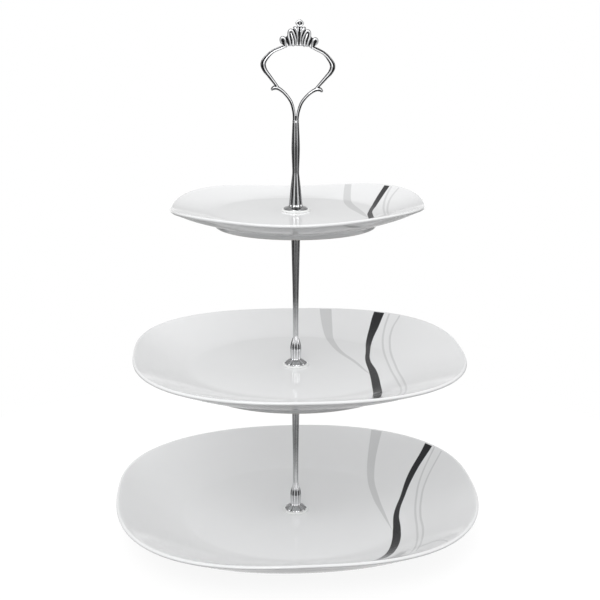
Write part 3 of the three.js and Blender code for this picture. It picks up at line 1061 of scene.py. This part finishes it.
def baseScrew():
    under = wells["bottom"] - threads["stack"]
    reach, tall, crown, sunk = sizesOf(screwHead, "radius", "height", "crown", "sunk")
    domeRound, edgeRound, faceRound = sizesOf(screwHead, "crownRound", "edgeRound", "faceRound")
    rows = profile([(0, -tall, 0), (reach - crown, -tall, domeRound), (reach, domeRound - tall, edgeRound),
                    (reach, 0, faceRound), (0, 0, 0)], screwHead["cornerSteps"])
    head = turned("base_screw_head", rows, zinc)
    raised(head, under)
    head = united(head, crossRecess("recess", under - tall), "DIFFERENCE")
    length = threads["stack"] + rodShape["seat"] + threads["engaged"] + sunk
    screw = united(head, threadedBar("shank", length, under - sunk))
    screw.name = "base_screw_threaded"
    finished(screw, "base_fastening", "zinc_steel", "base_screw")


baseScrew()
print("threads made")

# Washers
washers = {
    "outer": 9.0,
    "seat": rodShape["seat"], "cushion": 0.8, "steel": 1.0,  # thicknesses
    "seatRound": 0.35, "cushionRound": 0.25, "steelRound": 0.15,
    "cornerSteps": 4,
}
washerStuff = {"plastic": (plastic, "clear_plastic", 2.6), "steel": (zinc, "zinc_steel", 2.3)}  # and the hole
seats = {  # each foot's body, its seat's body, tier and radius
    "lower_rod": ("lower_seat", "bottom", 8.8),
    "upper_rod": ("upper_seat", "middle", 8.8),
    "crown_handle": ("handle_seat", "top", 9.35),
}
undersides = {"bottom": "base_fastening", "middle": "lower_rod", "top": "upper_rod"}


def washer(name, body, node, kind, outer, height):
    material, slotName, hole = washerStuff["steel" if kind == "steel" else "plastic"]
    thickness, rounding = washers[kind], washers[f"{kind}Round"]
    corners = [(hole, 0), (outer, 0), (outer, thickness), (hole, thickness)]
    seam = (hole, thickness / 2, 0)
    rows = profile([seam, *[(*corner, rounding) for corner in corners], seam], washers["cornerSteps"])
    piece = turned(name, rows, material)
    raised(piece, height)
    finished(piece, body, slotName, node)


for owner, (body, tier, radius) in seats.items():
    washer(f"{owner}_seat", body, f"{owner}_seat_washer", "seat", radius, wells[tier])
for tier, body in undersides.items():
    height = wells[tier] - platePress["thickness"]
    for kind in ("cushion", "steel"):
        height -= washers[kind]
        washer(f"{tier}_{kind}", body, f"{tier}_{kind}_washer", kind, washers["outer"], height)
print("washers made")

# Floor and studio
floorLook = {
    "radius": 0.34, "sides": 128,
    "bounce": 0.04,  # what it throws back on the plates
    "lit": 0.14,  # what light and shadow show on it, over its own glow
    "glow": 0.9,
}
floorMesh = bpy.data.meshes.new("floor")
disc = bmesh.new()
bmesh.ops.create_circle(disc, cap_ends=True, radius=floorLook["radius"], segments=floorLook["sides"])
disc.to_mesh(floorMesh)
disc.free()
placed("floor", floorMesh)


def straight(path):  # the camera's own rays, also through the plastic
    return calc("MAXIMUM", path["Is Camera Ray"], path["Is Transmission Ray"])


def floorMaterial():
    material = bpy.data.materials.new("paleFloor")
    material.use_nodes = True
    tree = material.node_tree
    tree.nodes.remove(tree.nodes["Principled BSDF"])
    bounce = addNode(tree, "ShaderNodeBsdfDiffuse", grey(floorLook["bounce"])).outputs[0]
    lit = addNode(tree, "ShaderNodeBsdfDiffuse", grey(floorLook["lit"])).outputs[0]
    glow = addNode(tree, "ShaderNodeEmission", grey(1.0), floorLook["glow"]).outputs[0]
    seen = addNode(tree, "ShaderNodeAddShader", lit, glow).outputs[0]
    path = tree.nodes.new("ShaderNodeLightPath").outputs
    shown = calc("MAXIMUM", straight(path), path["Is Glossy Ray"])
    mixed = addNode(tree, "ShaderNodeMixShader", shown, bounce, seen).outputs[0]
    plug(tree.nodes["Material Output"].inputs["Surface"], mixed)
    return material


floorMesh.materials.append(floorMaterial())

studio = {
    "zenith": 1.10,  # plain light from overhead
    "horizon": 0.80,  # from all round
    "ground": 0.15,  # and from below the table
    "front": 1.30,  # what gloss shows straight in front: level with the eye, over the table, and down on it
    "frontAbove": 2.2,
    "frontTable": 0.55,
    "frontFloor": 1.05,
    "frontSide": 0.36,  # then from the front round to the back
    "side": 0.26,
    "corner": 0.22,
    "back": 1.0,
    "belowBack": 0.4,  # and this share of it lower down
    "rightGain": 1.5,  # the room is lighter on the right
    "aheadWide": 0.09,  # the bright front is this much wider level with the eye and down on the table
    "aboveFront": 0.18,  # and what it shows higher up
    "aboveSide": 0.16,
    "aboveBack": 0.38,
    "ceiling": 0.30,
    "frontRise": 0.50,  # the bright front reaches this much higher than the rest
}
studioEdges = {  # heights and bearings between which one part of the room runs into the next
    "sunk": (-0.18, -0.32),
    "wideAbove": (-0.12, -0.05),
    "wideBelow": (-0.30, -0.42),
    "ahead": (0.10, 0.035),
    "right": (-0.2, 0.5),
    "rise": (-0.95, -0.5),
    "above": (-0.03, 0.10),
    "ceiling": (0.50, 0.72),
}
studioRamps = {
    "sides": [(0.0, "frontSide"), (0.22, "frontSide"), (0.36, "side"), (0.62, "side"), (0.80, "corner"),
              (0.93, "corner"), (0.96, "back"), (1.0, "back")],
    "ahead": [(0.0, "frontFloor"), (0.29, "frontFloor"), (0.35, "frontTable"), (0.455, "frontTable"),
              (0.49, "front"), (0.58, "front"), (0.61, "frontAbove"), (1.0, "frontAbove")],
    "high": [(0.0, "aboveFront"), (0.15, "aboveFront"), (0.45, "aboveSide"), (0.75, "aboveSide"),
             (0.92, "aboveBack"), (1.0, "aboveBack")],
    "soft": [(0.0, "ground"), (0.46, "ground"), (0.58, "horizon"), (0.66, "horizon"), (0.95, "zenith"),
             (1.0, "zenith")],
}
world = bpy.data.worlds.new("studio")
world.use_nodes = True
scene.world = world


def rampOf(value, name):
    steps = studioRamps[name]
    ramp = addNode(value.id_data, "ShaderNodeValToRGB", value)
    band = ramp.color_ramp
    band.elements[0].position, band.elements[1].position = steps[0][0], steps[-1][0]
    for position, level in steps[1:-1]:
        band.elements.new(position)
    for element, (position, level) in zip(band.elements, steps):
        element.color = grey(studio[level])
    return ramp.outputs["Color"]


def dimmed(colour, share):
    return addNode(colour.id_data, "ShaderNodeVectorMath", colour, share, operation="MULTIPLY").outputs[0]


def studioWorld(tree):
    edges = studioEdges
    x, y, z = axesOf(tree.nodes.new("ShaderNodeTexCoord").outputs["Generated"])
    span = calc("MAXIMUM", calc("SQRT", plus(times(x, x), times(y, y))), 0.001)
    facing, across = over(y, span), over(x, span)  # facing is -1 at the front and 1 at the back
    bearingShare, heightShare = remap(facing, -1.0, 1.0), remap(z, -1.0, 1.0)
    sides = dimmed(rampOf(bearingShare, "sides"), remap(z, *edges["sunk"], 1.0, studio["belowBack"]))
    wide = calc("MAXIMUM", remap(z, *edges["wideAbove"]), remap(z, *edges["wideBelow"]))
    broad = minus(bearingShare, times(wide, studio["aheadWide"]))
    low = blendColour(remap(broad, *edges["ahead"]), sides, rampOf(heightShare, "ahead"))
    low = dimmed(low, remap(across, *edges["right"], 1.0, studio["rightGain"]))
    risen = minus(z, remap(facing, *edges["rise"], studio["frontRise"], 0.0))
    gloss = blendColour(remap(risen, *edges["above"]), low, rampOf(bearingShare, "high"))
    gloss = blendColour(remap(z, *edges["ceiling"]), gloss, grey(studio["ceiling"]))
    path = tree.nodes.new("ShaderNodeLightPath").outputs
    light = blendColour(path["Is Glossy Ray"], rampOf(heightShare, "soft"), gloss)
    wired(tree.nodes["Background"], {"Color": blendColour(straight(path), light, grey(1.0))})


studioWorld(world.node_tree)

lampAim = Vector((0, 0, 0.15))
lamps = {
    "key": {"place": (-0.35, -1.35, 1.25), "size": 0.9, "power": 9.0},
    "side": {"place": (-1.0, -0.7, 1.1), "size": 0.8, "power": 1.0},
    "fill": {"place": (1.1, -0.6, 0.9), "size": 0.9, "power": 0.6},
}
for name, lamp in lamps.items():
    light = bpy.data.lights.new(name, "AREA")
    light.shape, light.size, light.energy = "DISK", lamp["size"], lamp["power"]
    holder = placed(name, light)
    holder.location = lamp["place"]
    holder.rotation_euler = (lampAim - holder.location).to_track_quat("-Z", "Y").to_euler()
print("studio set")
